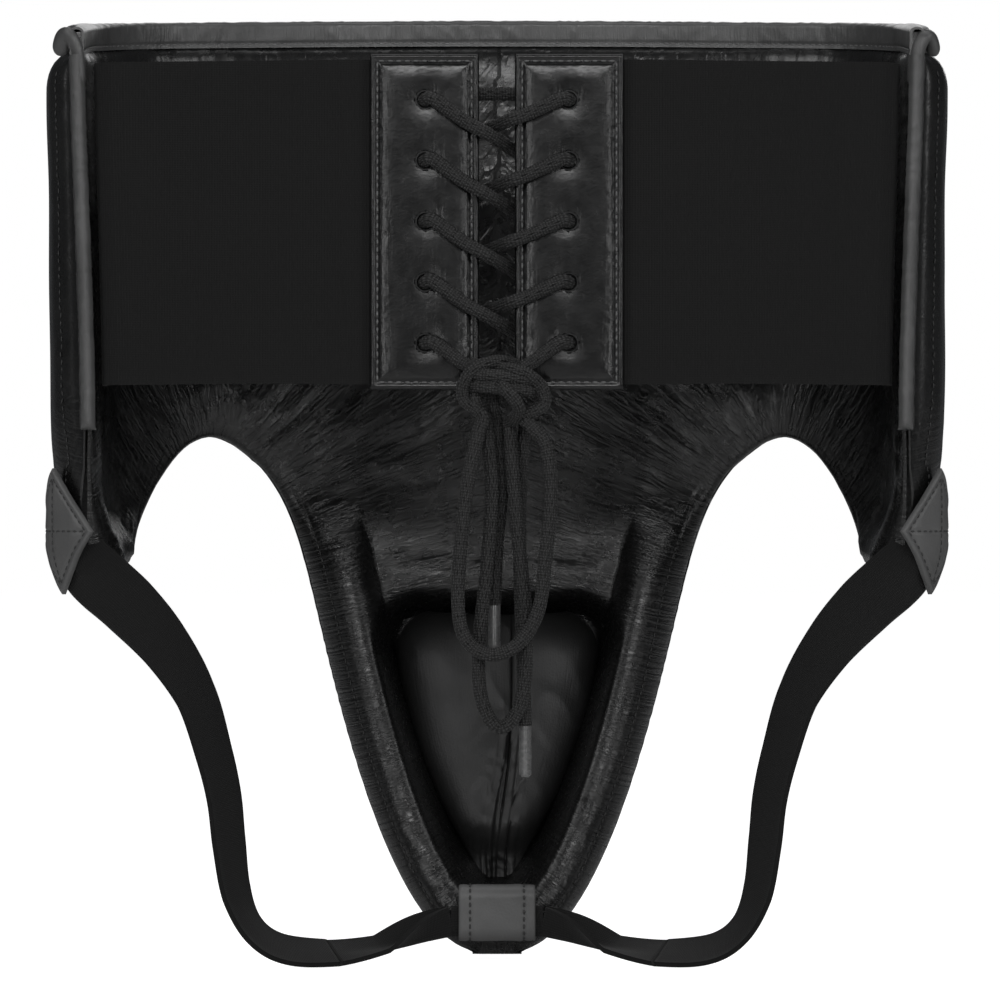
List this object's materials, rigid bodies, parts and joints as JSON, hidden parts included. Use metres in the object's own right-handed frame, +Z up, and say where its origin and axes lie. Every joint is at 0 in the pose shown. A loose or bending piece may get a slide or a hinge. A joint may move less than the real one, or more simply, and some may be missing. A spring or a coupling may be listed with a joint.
{
  "type": "groin protector",
  "caption": "Padded groin protector with a rigid cup, hip wings, a laced elastic back and two leg straps.",
  "frame": {"origin": "middle of the waist opening, halfway up the elastic band and midway between the hips", "axes": "+Z up the wearer's body, +Y towards the padded front, -Y towards the laced back, +X to the right as seen from behind"},
  "size_m": [0.3674, 0.2159, 0.3867],
  "materials": {
    "cover_leather": "glossy black full-grain leather",
    "lining_leather": "semi-gloss black leather with fine creases",
    "panel_leather": "glossy smooth black leather",
    "binding_leather": "satin charcoal leather",
    "foam": "closed-cell padding foam, hidden",
    "rigid_cup": "moulded plastic cup, hidden",
    "elastic": "matt ribbed woven elastic",
    "strap_webbing": "matt woven elastic webbing",
    "eyelet_metal": "black painted eyelets",
    "lace": "round braided black lace",
    "aglet": "dark grey crimped lace ends"
  },
  "bodies": {
    "root": {"waist_panel": "cover_leather", "hip_panel_left": "cover_leather", "hip_panel_right": "cover_leather", "cup_panel": "cover_leather", "body_lining": "lining_leather", "cup_lining_left": "lining_leather", "cup_lining_right": "lining_leather", "waist_foam": "foam", "hip_foam_left": "foam", "hip_foam_right": "foam", "cup_foam": "foam", "rigid_cup": "rigid_cup", "rim_roll": "foam", "top_binding": "binding_leather", "wing_binding_left": "binding_leather", "wing_binding_right": "binding_leather", "elastic_left": "elastic", "elastic_right": "elastic", "lace_run_left": "lace", "lace_run_right": "lace", "lace_knot": "lace", "strap_patch_left": "binding_leather", "strap_patch_right": "binding_leather", "strap_crossing": "strap_webbing", "crotch_loop": "binding_leather"},
    "rear_left": {"lacing_panel_left": "panel_leather", "panel_backing_left": "lining_leather", "eyelets_left": "eyelet_metal", "eyelet_washers_left": "eyelet_metal"},
    "rear_right": {"lacing_panel_right": "panel_leather", "panel_backing_right": "lining_leather", "eyelets_right": "eyelet_metal", "eyelet_washers_right": "eyelet_metal"},
    "bow": {"bow_loop_upper": "lace", "bow_loop_lower": "lace", "lace_tail_long": "lace", "lace_tail_short": "lace", "aglet_long": "aglet", "aglet_short": "aglet"},
    "strap_left": {"leg_strap_left": "strap_webbing"},
    "strap_right": {"leg_strap_right": "strap_webbing"}
  },
  "joints": [
    {"name": "lacing_left", "type": "slide", "parent": "root", "child": "rear_left", "axis": [-1, 0, 0], "range_m": [-0.005, 0.013], "deforming": ["elastic_left", "lace_run_left", "lace_run_right"]},
    {"name": "lacing_right", "type": "slide", "parent": "root", "child": "rear_right", "axis": [1, 0, 0], "range_m": [-0.005, 0.013], "deforming": ["elastic_right", "lace_run_left", "lace_run_right"]},
    {"name": "bow_swing", "type": "hinge", "parent": "root", "child": "bow", "pos_m": [0, -0.09, -0.079], "axis": [-1, 0, 0], "range_deg": [-20, 45], "deforming": ["bow_loop_upper", "bow_loop_lower", "lace_tail_long", "lace_tail_short"]},
    {"name": "strap_left_swing", "type": "hinge", "parent": "root", "child": "strap_left", "pos_m": [-0.0155, 0.0013, -0.28], "axis": [-0.6936, -0.2255, 0.6841], "range_deg": [-20, 55], "deforming": ["leg_strap_left"]},
    {"name": "strap_right_swing", "type": "hinge", "parent": "root", "child": "strap_right", "pos_m": [0.0155, 0.0013, -0.28], "axis": [-0.6936, 0.2255, -0.6841], "range_deg": [-20, 55], "deforming": ["leg_strap_right"]}
  ],
  "couplings": [
    {"joint": "lacing_right", "follows": "lacing_left", "ratio": 1}
  ]
}
